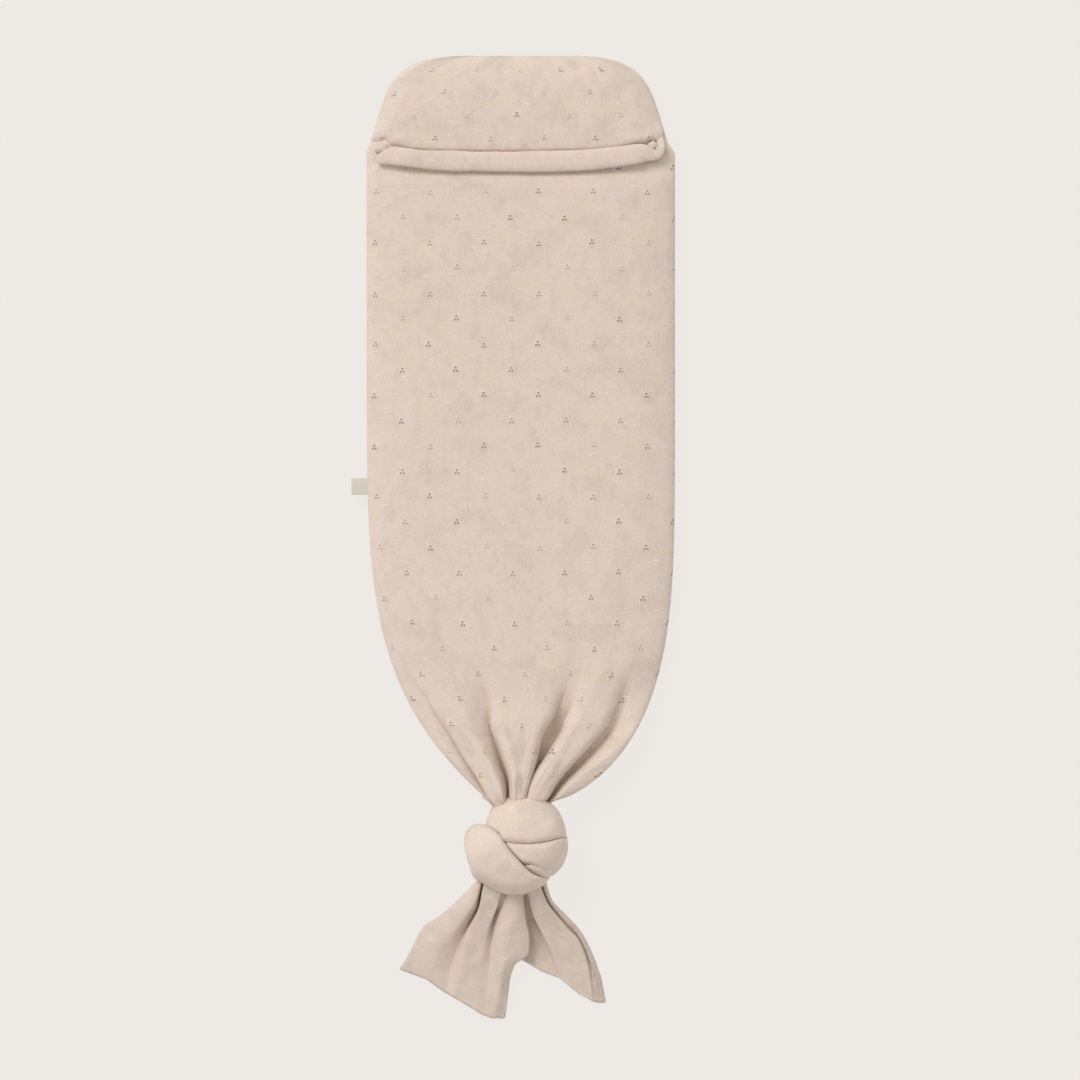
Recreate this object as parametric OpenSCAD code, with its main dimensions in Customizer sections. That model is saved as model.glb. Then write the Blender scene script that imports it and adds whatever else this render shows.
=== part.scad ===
// Knotted baby sleeping bag: a lined knit tube with a hood, tied in an overhand knot at its foot.
// It lies on its back. +Z is up, and +Y runs up the bag to the crown of the hood. The origin is
// on the underside of the back panel, on the centre line, about half way along. Millimetres.

/* [Bag] */
// Width of the bag, from side fold to side fold
bag_w = 240; // [228:1:252]
// Height of the relaxed front above the surface that the bag lies on
bag_h = 26; // [24:1:28]
// From the origin up to the lower edge of the hood's hem
hem_y = 288; // [270:1:300]
// From the origin down to where the knot grips the bag
neck_drop = 204; // [190:1:215]
// Width of the bunched fabric where the knot grips it
neck_w = 48; // [40:1:54]

/* [Hood] */
// Width of the hood at its base
hood_w = 224; // [216:1:226]
// From the lower edge of the hem up to the crown
hood_l = 92; // [84:1:100]
// Width of the rolled hem along the hood's front edge
hem_w = 15; // [12:1:16]
// Thickness of the rolled hem
hem_t = 7.5; // [6:0.5:8]

/* [Fabric] */
// Thickness of the outer pointelle knit
knit_t = 1.6; // [1.2:0.1:2]
// Thickness of the plain lining
lining_t = 1.2; // [0.8:0.1:1.4]

/* [Knot] */
// Width of the knot's lower wrap
knot_w = 78; // [70:1:82]
// Height of the knot above the surface
knot_h = 50; // [44:1:54]

/* [Tail] */
// From the knot down to the longest corner of the tail
tail_l = 98; // [80:1:110]

/* [Label] */
// Width of the woven side label, along the seam
label_w = 12.5; // [10:0.5:16]
// How far the folded label stands out of the seam
label_l = 12; // [9:0.5:14]
// From the origin up the bag to the middle of the label
label_y = 42; // [20:1:80]

/* [Hidden] */

knit = [0.85, 0.79, 0.72];
lining = [0.90, 0.86, 0.80];
thread = [0.80, 0.74, 0.67];
ribbon = [0.90, 0.88, 0.80];

gap = 0.3;                      // between layers that lie on each other
lining_d = knit_t + gap;        // from the outer face in to the lining
inside_d = lining_d + lining_t; // from the outer face in to the bag's inside
seam_h = 10;                    // height of the side seams
gather_y = 40;                  // the sides begin to draw in here
front_top = hem_y + 9;          // upper edge of the front panel, under the hood
back_top = hem_y - 1;           // upper edge of the back panel between its shoulders
neckline_h = 15;                // height of the front panel at its upper edge
hood_back_y = hem_y + 0.5;      // lower edge of the hood's back
hood_side_y = hem_y + 16;       // where the hood's sides begin
crown_y = hem_y + hood_l;
hem_rise = 12;                  // how far the hem's ends curve up
hem_end_x = 103;
seam_in = 6.5;                  // width of the seam allowance
rim_tilt = 0.05;                // slope of the hood front's edge, from its outer face in
neck_h = 22;                    // height of the middle of the neck
knot_y = -neck_drop - 42;       // middle of the knot
core_rx = 20;                   // half width of the bunch through the knot
core_rz = 10;                   // half height of it
tail_y = -neck_drop - 74.6;     // where the tail leaves the knot
tail_h = 24;                    // top of the tail where it leaves the knot
root_l = 8;                     // length of the bunch between the knot and the flaps

// ---- Numbers and curves ----

function clip(t) = min(1, max(0, t));
function ease(t) = let (c = clip(t)) c * c * (3 - 2 * c);
function mix(a, b, t) = a + (b - a) * t;
function bezier(a, b, c, t) = (1 - t) * (1 - t) * a + 2 * t * (1 - t) * b + t * t * c;
// Height across a panel with a fold at each side: 1 in the middle, 0 at the side
function crown(u) = sqrt(max(0, 1 - pow(abs(u), 4)));

// ---- The bag's shape along its length ----

function gathered(y) = clip((gather_y - y) / (gather_y + neck_drop));
function half_left(y) = mix(bag_w, neck_w, pow(gathered(y), 3)) / 2;
function half_right(y) = mix(neck_w, bag_w, pow(1 - pow(gathered(y), 4), 0.77)) / 2;
function foot(y) = ease((-neck_drop / 2 - y) * 2 / neck_drop);
function seam_z(y) = mix(seam_h, neck_h, foot(y));
function top_z(y) = mix(mix(bag_h, 36, foot(y)), neckline_h, ease((y - hem_y + 36) / 38));
function under_z(y) = mix(0, 9, foot(y));
// Pleats that the knot draws into the fabric: 5 ridges across, deepest at the knot
function pleat(u, y) = 2 * foot(y) * (1 - cos(900 * u)) * crown(u);
// How far the bag's inside is open: closed where the knot bunches it
function open(y) = 1 - 0.97 * foot(y);
function side_x(u, y, d) = u * ((u < 0 ? half_left(y) : half_right(y)) - d);

function front_at(u, y, d, o = 1) =
    [side_x(u, y, d), y, seam_z(y) + gap / 2
        + o * ((top_z(y) - seam_z(y) - gap / 2 - d) * crown(u) - pleat(u, y))];
function back_at(u, y, d, o = 1) =
    [side_x(u, y, d), y, seam_z(y) - gap / 2
        - o * (min(seam_z(y) - under_z(y) - gap / 2 - d, (1.2 * (seam_z(y) - under_z(y)) - d) * crown(u))
            - 0.5 * pleat(u, y))];

// ---- The hood's shape ----

function hood_half(y, d) = let (t = clip((y - hem_y - 10) / (hood_l - 8)))
    hood_w / 2 * pow(1 - pow(t, 4), 1 / 3) - d;
function hem_curve(x) = hem_rise * pow(x / 110, 4);
function hood_z(u, v, d, h) = (h - gap / 2 - d) * crown(u) * crown(v);
function hood_front_at(u, v, d) = let (y = mix(hem_y + hem_w + 0.5 + hem_curve(u * 108), crown_y - d, v))
    [u * hood_half(y, d), y, seam_h + gap / 2 - rim_tilt * d + hood_z(u, v, d, bag_h - seam_h)];
function hood_back_foot(u) = abs(u) > 0.8 ? hood_side_y : hood_back_y;
function hood_back_at(u, v, d) = let (y = mix(hood_back_foot(u), crown_y - d, v))
    [u * hood_half(y, d), y, max(d, seam_h - gap / 2 - 1.2 * hood_z(u, v, d, seam_h))];

// ---- Builders ----

// A closed sheet between an outer and an inner face, each a function of u (-1 to 1) and v (0 to 1)
module sheet(outer, inner, nu, nv) {
    m = nu + 1;
    base = m * (nv + 1);
    us = [for (i = [0:nu]) -cos(180 * i / nu)];
    rim = concat([for (i = [0:nu]) i], [for (j = [1:nv]) j * m + nu],
        [for (i = [1:nu]) nv * m + nu - i], [for (j = [1:nv - 1]) (nv - j) * m]);
    points = concat([for (j = [0:nv]) for (u = us) outer(u, j / nv)],
        [for (j = [0:nv]) for (u = us) inner(u, j / nv)]);
    faces = concat(
        [for (j = [0:nv - 1]) for (i = [0:nu - 1]) let (a = j * m + i) each [[a, a + m, a + m + 1], [a, a + m + 1, a + 1]]],
        [for (j = [0:nv - 1]) for (i = [0:nu - 1]) let (a = base + j * m + i) each [[a, a + m + 1, a + m], [a, a + 1, a + m + 1]]],
        [for (k = [0:len(rim) - 1]) let (a = rim[k], b = rim[(k + 1) % len(rim)]) each [[a, b, b + base], [a, b + base, a + base]]]);
    polyhedron(points, faces);
}

// A closed rod of rings, ring(t) for t from 0 to 1, each a list of points in order
module rod(ring, n) {
    rings = [for (k = [0:n]) ring(k / n)];
    s = len(rings[0]);
    walls = [for (k = [0:n - 1]) for (i = [0:s - 1])
        let (a = k * s + i, b = k * s + (i + 1) % s) each [[a, b + s, b], [a, a + s, b + s]]];
    ends = [[for (i = [0:s - 1]) i], [for (i = [0:s - 1]) n * s + s - 1 - i]];
    polyhedron([for (r = rings) each r], concat(walls, ends));
}

// ---- Bag ----

function bag_y(v, top) = mix(-neck_drop, top, v);
function back_edge(u) = abs(u) > 0.8 ? front_top : back_top;

module front_panel() {
    color(knit) sheet(
        function (u, v) front_at(u, bag_y(v, front_top), 0),
        function (u, v) front_at(u, bag_y(v, front_top), knit_t), 20, 26);
}

module front_lining() {
    color(lining) sheet(
        function (u, v) front_at(u, bag_y(v, front_top), lining_d),
        function (u, v) let (y = bag_y(v, front_top)) front_at(u, y, inside_d, open(y)), 20, 26);
}

module back_panel() {
    color(knit) sheet(
        function (u, v) back_at(u, bag_y(v, back_edge(u)), knit_t),
        function (u, v) back_at(u, bag_y(v, back_edge(u)), 0), 20, 26);
}

module back_lining() {
    color(lining) sheet(
        function (u, v) let (y = bag_y(v, back_edge(u))) back_at(u, y, inside_d, open(y)),
        function (u, v) back_at(u, bag_y(v, back_edge(u)), lining_d), 20, 26);
}

module neckline_hem() {
    r = 2.9;
    reach = 0.74;
    color(knit) rod(function (t) let (u = mix(-reach, reach, t), c = front_at(u, front_top, inside_d / 2))
        [for (a = [0:45:315]) c + [0, r + 0.1 + r * cos(a), r * sin(a)]], 16);
}

module side_seam(side) {
    t = 0.6;
    color(thread) rod(function (s) let (
            y = mix(-60, hem_y - 12, s),
            edge = (side < 0 ? half_left(y) : half_right(y)) - inside_d - 0.6,
            z = seam_z(y))
        [for (p = [[0, -t], [seam_in, -t], [seam_in, t], [0, t]])
            [side * (edge - seam_in + p[0]), y, z + side * p[1]]], 14);
}

// ---- Hood ----

module hood_front_panel() {
    color(knit) sheet(
        function (u, v) hood_front_at(u, v, 0),
        function (u, v) hood_front_at(u, v, knit_t), 16, 8);
}

module hood_front_lining() {
    color(lining) sheet(
        function (u, v) hood_front_at(u, v, lining_d),
        function (u, v) hood_front_at(u, v, inside_d), 16, 8);
}

module hood_back_panel() {
    color(knit) sheet(
        function (u, v) hood_back_at(u, v, knit_t),
        function (u, v) hood_back_at(u, v, 0), 16, 8);
}

module hood_back_lining() {
    color(lining) sheet(
        function (u, v) hood_back_at(u, v, inside_d),
        function (u, v) hood_back_at(u, v, lining_d), 16, 8);
}

module hood_hem() {
    z = bag_h + 2 - hem_t / 2;
    color(knit) rod(function (t) let (x = mix(-hem_end_x, hem_end_x, t), half = hem_w / 2 - 3 * pow(abs(x) / hem_end_x, 6))
        [for (a = [0:30:330])
            [x, hem_y + hem_w / 2 + hem_curve(x) + half * cos(a), z + hem_t / 2 * sin(a)]], 20);
}

module corner_tack(side) {
    y = hem_y + hem_w / 2 + hem_curve(hem_end_x);
    color(knit) hull() {
        translate([side * (hem_end_x + 4.2), y, bag_h - 3]) sphere(r = 3.6, $fn = 16);
        translate([side * (hem_end_x + 5), y + 4, seam_h + 5]) sphere(r = 2.6, $fn = 16);
    }
}

module crown_seam() {
    t = 0.5;
    color(thread) rod(function (s) let (
            x = mix(-60, 60, s),
            y = crown_y - inside_d - 1.5)
        [for (p = [[-5, -t], [0, -t], [0, t], [-5, t]]) [x, y + p[0], seam_h + p[1]]], 8);
}

// ---- Label ----

// The label's folded outline: a strip with a round fold at its outer end
module folded(r) {
    translate([-label_l + r, -r]) square([label_l - r, 2 * r]);
    translate([-label_l + r, 0]) circle(r = r, $fn = 32);
}

module side_label() {
    ribbon_t = 0.5;
    slot = 0.2;
    color(ribbon) translate([-bag_w / 2 - 1.2, label_y + label_w / 2, seam_h]) rotate([90, 0, 0])
        linear_extrude(label_w) difference() {
            folded(ribbon_t + slot);
            translate([ribbon_t / 2, 0]) intersection() {
                folded(slot);
                translate([-label_l + ribbon_t, -1]) square([label_l, 2]);
            }
        }
}

// ---- Knot ----

function power(c, e) = sign(c) * pow(abs(c), e);

// A pillowy lump with semi-axes r, a little squarer than an ellipsoid, flat where it rests on the surface
module lump(centre, r) {
    e = 0.78;
    rod(function (t) let (a = mix(-87, 87, t), s = pow(cos(a), e))
        [for (b = [0:15:345]) [
            centre[0] + r[0] * s * power(cos(b), e),
            centre[1] - r[1] * power(sin(a), e),
            max(0, centre[2] + r[2] * s * power(sin(b), e))]], 20);
}

module knot_core() {
    color(knit) rod(function (t) let (y = mix(-neck_drop - 0.8, tail_y + 8, t))
        [for (a = [0:30:330]) [core_rx * cos(a), y, neck_h + core_rz * sin(a)]], 4);
}

module core_hole() {
    rod(function (t) let (y = mix(-neck_drop + 5, tail_y + 7, t))
        [for (a = [0:30:330]) [(core_rx + gap) * cos(a), y, neck_h + (core_rz + gap) * sin(a)]], 1);
}

// The slanting crease across the knot, with the upper wrap on its upper right
module below_crease(shift = 0) {
    translate([0, knot_y, -1]) rotate([0, 0, -38]) translate([-100, -100 - shift, 0]) cube([200, 100, 80]);
}

// Everything below the crease between the two turns of the upper wrap
module below_turn(shift = 0) {
    translate([-100, knot_y + 11 - 100 - shift, -1]) cube([200, 100, 80]);
}

// The upper wrap's two turns, cut off square where they press against the neck of the bag
module upper_lump() {
    intersection() {
        lump([5, knot_y + 12, knot_h / 2 - 2], [32, 32, knot_h / 2 + 2]);
        translate([-100, -neck_drop - gap - 100, -1]) cube([200, 100, 80]);
    }
}

module knot_upper_wrap() {
    color(knit) difference() {
        upper_lump();
        core_hole();
        below_crease();
        below_turn();
    }
}

module knot_middle_wrap() {
    color(knit) difference() {
        intersection() {
            upper_lump();
            below_turn(gap);
        }
        core_hole();
        below_crease();
    }
}

module knot_lower_wrap() {
    color(knit) intersection() {
        difference() {
            lump([-6, knot_y - 4, knot_h / 2 - 2], [knot_w / 2, 28, knot_h / 2 + 2]);
            core_hole();
        }
        below_crease(gap);
    }
}

// ---- Tail ----

// Each flap fans out between two curved edges: [start, bend, end]
left_out = [[-31, -root_l], [-78, -14], [-94, 40 - tail_l]];
left_in = [[2, -root_l - 0.5], [16, -50], [-13, 1 - tail_l]];
right_in = [[3, -root_l - 0.5], [10, -28], [6.5, 48 - tail_l]];
right_out = [[19, -root_l], [48, -24], [65, 12 - tail_l]];

layer_t = 2.6;                  // a layer of the tail: knit and lining together

function edge_at(e, v) = bezier(e[0], e[1], e[2], v);
// The flap's height: it drops from the knot to the surface, in folds that open towards the hem
function flap_z(u, v, folds) = mix(tail_h - 13, 1.2, ease(v * 1.5)) + 2.2 * ease(2 * v) * (1 + cos(folds * u));
function flap_at(inner, outer, u, v, z, folds) =
    let (p = mix(edge_at(outer, v), edge_at(inner, v), (u + 1) / 2))
    [p[0], tail_y + p[1], z + flap_z(u, v, folds)];

module tail_flap(inner, outer, lift, folds) {
    color(knit) sheet(
        function (u, v) flap_at(inner, outer, u, v * 0.95, lift + layer_t, folds),
        function (u, v) flap_at(inner, outer, u, v * 0.95, lift, folds), 10, 7);
}

// The turned edge that closes both layers of a flap along its end
module flap_hem(inner, outer, folds) {
    color(knit) rod(function (t) let (u = mix(-1, 1, t),
            a = flap_at(inner, outer, u, 0.955, -1, folds), b = flap_at(inner, outer, u, 1, -1, folds))
        [a, a + [0, 0, 2 * layer_t + 1], b + [0, 0, 2 * layer_t + 1], b], 10);
}

// The bunch of fabric between the knot and the flaps, in three round folds
module tail_root() {
    half = root_l / 2;
    color(knit) rod(function (t) let (x = mix(-32, 20, t), h = 9 + 2 * abs(cos(540 * t)), r = pow(sin(mix(20, 160, t)), 0.4))
        [for (a = [0:30:330]) [x, tail_y - half + half * r * cos(a), tail_h - 11 + h * r * sin(a)]], 18);
}

module tail_left_top_layer() { tail_flap(left_in, left_out, layer_t + gap, 400); }
module tail_left_under_layer() { tail_flap(left_in, left_out, 0, 400); }
module tail_right_top_layer() { tail_flap(right_out, right_in, layer_t + gap, 300); }
module tail_right_under_layer() { tail_flap(right_out, right_in, 0, 300); }
module tail_left_hem() { flap_hem(left_in, left_out, 400); }
module tail_right_hem() { flap_hem(right_out, right_in, 300); }

front_panel();
front_lining();
back_panel();
back_lining();
neckline_hem();
side_seam(-1);  // left_side_seam
side_seam(1);  // right_side_seam
hood_front_panel();
hood_front_lining();
hood_back_panel();
hood_back_lining();
hood_hem();
corner_tack(-1);  // left_corner_tack
corner_tack(1);  // right_corner_tack
crown_seam();
side_label();
knot_core();
knot_upper_wrap();
knot_middle_wrap();
knot_lower_wrap();
tail_root();
tail_left_top_layer();
tail_left_under_layer();
tail_right_top_layer();
tail_right_under_layer();
tail_left_hem();
tail_right_hem();
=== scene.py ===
"""A knotted, hooded baby sleeping bag in pale pointelle knit, lying on its back.

Lengths are in millimetres until a mesh is made: +X across the bag, +Y up to the crown, +Z up."""

import math

import bpy
import numpy as np
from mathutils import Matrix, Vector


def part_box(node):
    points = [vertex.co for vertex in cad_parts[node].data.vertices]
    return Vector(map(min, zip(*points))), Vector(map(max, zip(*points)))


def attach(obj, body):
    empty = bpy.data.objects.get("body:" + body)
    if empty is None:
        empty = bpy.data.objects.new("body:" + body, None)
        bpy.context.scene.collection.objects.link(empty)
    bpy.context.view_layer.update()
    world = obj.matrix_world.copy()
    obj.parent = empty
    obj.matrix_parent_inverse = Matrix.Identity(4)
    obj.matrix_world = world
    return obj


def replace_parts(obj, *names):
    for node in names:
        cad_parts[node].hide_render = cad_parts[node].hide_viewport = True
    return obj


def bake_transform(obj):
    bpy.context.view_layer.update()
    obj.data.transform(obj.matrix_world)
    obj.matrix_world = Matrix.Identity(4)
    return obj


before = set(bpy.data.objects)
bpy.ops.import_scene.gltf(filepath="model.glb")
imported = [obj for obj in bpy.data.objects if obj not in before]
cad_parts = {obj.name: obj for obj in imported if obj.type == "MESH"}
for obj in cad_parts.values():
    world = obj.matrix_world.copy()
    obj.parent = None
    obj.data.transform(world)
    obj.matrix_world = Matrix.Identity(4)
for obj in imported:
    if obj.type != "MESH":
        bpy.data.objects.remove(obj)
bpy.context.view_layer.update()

MM = 0.001

# ---- The design's own places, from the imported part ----


def corners(node):
    """A CAD node's lowest and highest corner, in millimetres."""
    low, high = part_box(node)
    return np.array(low) / MM, np.array(high) / MM


LOWEST, HIGHEST = 0, 1  # which corner
Y, Z = 1, 2  # which axis

NECK_Y = corners("front_panel")[LOWEST][Y]  # the knot grips the bag here
HEM_Y = corners("hood_hem")[LOWEST][Y]  # lower edge of the hood's hem
CROWN_Y = corners("hood_back_panel")[HIGHEST][Y]
BAG_TOP = corners("hood_front_panel")[HIGHEST][Z]  # height of the relaxed front
KNOT_TOP = corners("knot_lower_wrap")[HIGHEST][Z]
SEAM_Z = 10.0  # height of the side seams
KNIT = 1.6  # thickness of the outer fabric
LINING = 1.2  # thickness of the lining
GAP = 0.3  # between the outer fabric and its lining
NECK_TOP = 36.0  # top of the gathered neck
NECK_MIDDLE = 22.0
NECK_UNDER = 9.0
UNDER_HEM = 20.3  # top of the front where the hood's hem lies on it
KNOT_MIDDLE = 21.0
FLOOR = 0.05  # the lowest that fabric lies above the surface under it

# ---- Curves and noise ----


def clip(t):
    return np.clip(t, 0.0, 1.0)


def ease(t):
    c = clip(t)
    return c * c * (3 - 2 * c)


def mix(a, b, t):
    return a + (b - a) * t


def stacked(*parts):
    """Points or UVs from their coordinates, which may be single rows or columns."""
    return np.stack(np.broadcast_arrays(*parts), axis=-1)


def spline(points, t):
    """A smooth curve through given points, at shares t of its length from 0 to 1."""
    p = np.array(points, float)
    ends = np.vstack([2 * p[0] - p[1], p, 2 * p[-1] - p[-2]])
    fine = []
    for i in range(len(p) - 1):
        a, b, c, d = ends[i : i + 4]
        s = np.linspace(0, 1, 24, endpoint=False)[:, None]
        bend = (2 * a - 5 * b + 4 * c - d) * s**2 + (3 * b - a - 3 * c + d) * s**3
        fine.append(0.5 * (2 * b + (c - a) * s + bend))
    fine = np.vstack(fine + [p[-1:]])
    run = np.r_[0, np.cumsum(np.linalg.norm(np.diff(fine, axis=0), axis=1))]
    at = np.asarray(t, float) * run[-1]
    return np.stack([np.interp(at, run, fine[:, k]) for k in range(p.shape[1])], axis=-1)


def wobble(x, y, size, seed):
    """Smooth noise from -1 to 1 with lumps about size across; the same seed gives the same noise."""
    table = np.random.RandomState(seed).uniform(-1, 1, (64, 64))
    gx, gy = np.asarray(x, float) / size + 31.7, np.asarray(y, float) / size + 17.3
    ix, iy = np.floor(gx).astype(int), np.floor(gy).astype(int)
    fx, fy = ease(gx - ix), ease(gy - iy)

    def corner(i, j):
        return table[(ix + i) % 64, (iy + j) % 64]

    return mix(mix(corner(0, 0), corner(1, 0), fx), mix(corner(0, 1), corner(1, 1), fx), fy)


def dome(s, power):
    """An arch over s from -1 to 1: 0 at both ends, 1 in the middle, and flatter the higher its power."""
    return np.maximum(0, 1 - np.abs(s) ** power) ** 0.5


def circle(count):
    """Angles all round."""
    return np.linspace(0, 2 * math.pi, count, endpoint=False)


# ---- Meshes ----


def mesh_object(name, points, faces, uvs):
    """A smooth mesh from points in millimetres, with the fabric's own coordinates as its UVs."""
    mesh = bpy.data.meshes.new(name)
    mesh.from_pydata((np.asarray(points) * MM).tolist(), [], faces)
    layer = mesh.uv_layers.new(name="fabric")
    loops = np.zeros(len(mesh.loops), np.int32)
    mesh.loops.foreach_get("vertex_index", loops)
    layer.data.foreach_set("uv", np.asarray(uvs, np.float32)[loops].ravel())
    mesh.polygons.foreach_set("use_smooth", np.ones(len(mesh.polygons), bool))
    mesh.update()
    made = bpy.data.objects.new(name, mesh)
    bpy.context.scene.collection.objects.link(made)
    return made


def grid_normals(grid):
    """Unit normals of a grid of points, by (row, column): its column direction crossed with its rows'."""
    across = np.gradient(grid, axis=1)
    along = np.gradient(grid, axis=0)
    n = np.cross(across, along)
    length = np.linalg.norm(n, axis=2, keepdims=True)
    return n / np.maximum(length, 1e-9)


def sheet(name, grid, uv, thickness, flip=False):
    """A closed thin cloth whose outer face is grid, with a ridge round its rim. flip turns its faces over."""
    rows, cols = grid.shape[:2]
    n = grid_normals(grid) * (-1 if flip else 1)
    inner = grid - n * thickness
    rim = [(0, i) for i in range(cols)] + [(j, cols - 1) for j in range(1, rows)]
    rim += [(rows - 1, i) for i in range(cols - 2, -1, -1)] + [(j, 0) for j in range(rows - 2, 0, -1)]
    rj, ri = np.array(rim).T
    middle = (grid[rj, ri] + inner[rj, ri]) / 2
    inward = grid[np.clip(rj, 1, rows - 2), np.clip(ri, 1, cols - 2)] - grid[rj, ri]
    inward -= n[rj, ri] * np.sum(inward * n[rj, ri], axis=1, keepdims=True)
    inward /= np.maximum(np.linalg.norm(inward, axis=1, keepdims=True), 1e-9)
    edge = middle - inward * thickness / 2
    points = np.vstack([grid.reshape(-1, 3), inner.reshape(-1, 3), edge])
    uvs = np.vstack([uv.reshape(-1, 2), uv.reshape(-1, 2), uv[rj, ri]])
    base, edge0 = rows * cols, 2 * rows * cols
    faces = []
    for j in range(rows - 1):
        for i in range(cols - 1):
            a = j * cols + i
            faces.append((a, a + 1, a + cols + 1, a + cols))
            faces.append((base + a, base + a + cols, base + a + cols + 1, base + a + 1))
    count = len(rim)
    flat = rj * cols + ri
    for k in range(count):
        m = (k + 1) % count
        faces.append((edge0 + k, edge0 + m, int(flat[m]), int(flat[k])))
        faces.append((base + int(flat[k]), base + int(flat[m]), edge0 + m, edge0 + k))
    if flip:
        faces = [f[::-1] for f in faces]
    return mesh_object(name, points, faces, uvs)


def tube(name, rings, uv):
    """A closed roll through rings of points (ring, point, 3), with a cap at each end."""
    count, size = rings.shape[:2]
    points = [rings.reshape(-1, 3), rings[0].mean(0, keepdims=True), rings[-1].mean(0, keepdims=True)]
    uvs = [uv.reshape(-1, 2), uv[0].mean(0, keepdims=True), uv[-1].mean(0, keepdims=True)]
    first, last = count * size, count * size + 1
    faces = []
    for k in range(count - 1):
        for i in range(size):
            a, b = k * size + i, k * size + (i + 1) % size
            faces.append((a, b, b + size, a + size))
    for i in range(size):
        j = (i + 1) % size
        faces.append((first, j, i))
        faces.append((last, (count - 1) * size + i, (count - 1) * size + j))
    return mesh_object(name, np.vstack(points), faces, np.vstack(uvs))


# ---- Cloth that swells where it is held at its edge ----

SWELL = 1.8  # how far the fronts may rise; their shapes start this much lower
CLOTH_FRAMES = 20


def swelling(name, grid):
    """How far cloth over a coarse grid rises when it is held along its edge and filled a little, in mm."""
    rows, cols = grid.shape[:2]
    number = np.arange(rows * cols).reshape(rows, cols)
    faces = np.stack([number[:-1, :-1], number[:-1, 1:], number[1:, 1:], number[1:, :-1]], axis=-1)
    flat = grid.reshape(-1, 3)
    piece = mesh_object(name, flat, faces.reshape(-1, 4).tolist(), flat[:, :2])
    inside = number[1:-1, 1:-1].ravel()
    held = piece.vertex_groups.new(name="held")
    held.add([int(i) for i in np.setdiff1d(number.ravel(), inside)], 1.0, "REPLACE")
    cloth_maker = piece.modifiers.new("cloth", "CLOTH")
    cloth_maker.collision_settings.use_collision = False
    settings = cloth_maker.settings
    settings.quality = 8
    settings.mass = 0.2
    settings.tension_stiffness = 10
    settings.compression_stiffness = 10
    settings.shear_stiffness = 4
    settings.bending_stiffness = 0.3
    settings.air_damping = 3
    settings.shrink_min = -0.015
    settings.vertex_group_mass = "held"
    settings.use_pressure = True
    settings.uniform_pressure_force = 2.0
    settings.effector_weights.gravity = 0
    for frame_number in range(1, CLOTH_FRAMES + 1):
        bpy.context.scene.frame_set(frame_number)
    moved = piece.evaluated_get(bpy.context.evaluated_depsgraph_get()).to_mesh()
    place = np.zeros(rows * cols * 3)
    moved.vertices.foreach_get("co", place)
    rise = place.reshape(rows, cols, 3)[..., 2] / MM - grid[..., 2]
    bpy.context.scene.frame_set(1)
    bpy.data.objects.remove(piece)
    return np.maximum(rise, -0.2) * min(1, SWELL / max(rise.max(), 0.01))


def sampled(table, row, column):
    """A coarse table read smoothly at shares (0 to 1) of its rows and columns."""
    rows, cols = table.shape
    r, c = clip(row) * (rows - 1.001), clip(column) * (cols - 1.001)
    i, j = np.floor(r).astype(int), np.floor(c).astype(int)
    fr, fc = r - i, c - j
    return mix(mix(table[i, j], table[i, j + 1], fc), mix(table[i + 1, j], table[i + 1, j + 1], fc), fr)


# ---- Outlines ----


def half_left(y):
    t = clip((200 - y) / (200 - NECK_Y))
    return 25.7 + 95.5 * np.maximum(0, 1 - t**5.29) ** 1.06


def half_right(y):
    t = clip((127 - y) / (127 - NECK_Y))
    return 25.9 + 95 * np.maximum(0, 1 - t**4.69) ** 0.69


def hood_half(y):
    t = clip((y - HEM_Y - 10) / (CROWN_Y + 0.4 - HEM_Y - 10))
    return 120.8 * (1 - 0.2 * t) * np.maximum(0, 1 - t**6.5) ** 0.21


def side_x(u, y):
    """x at a share u of the way from the centre line to the side fold."""
    y = np.maximum(y, NECK_Y)
    above = ease((y - HEM_Y - 13) / 12)
    left = mix(half_left(y), np.minimum(hood_half(y) + 1.6, 121.2), above)
    right = mix(half_right(y), np.minimum(hood_half(y) - 1.6, 120.9), above)
    return u * np.where(u < 0, left, right)


# ---- The bag's cross-sections ----

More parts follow.
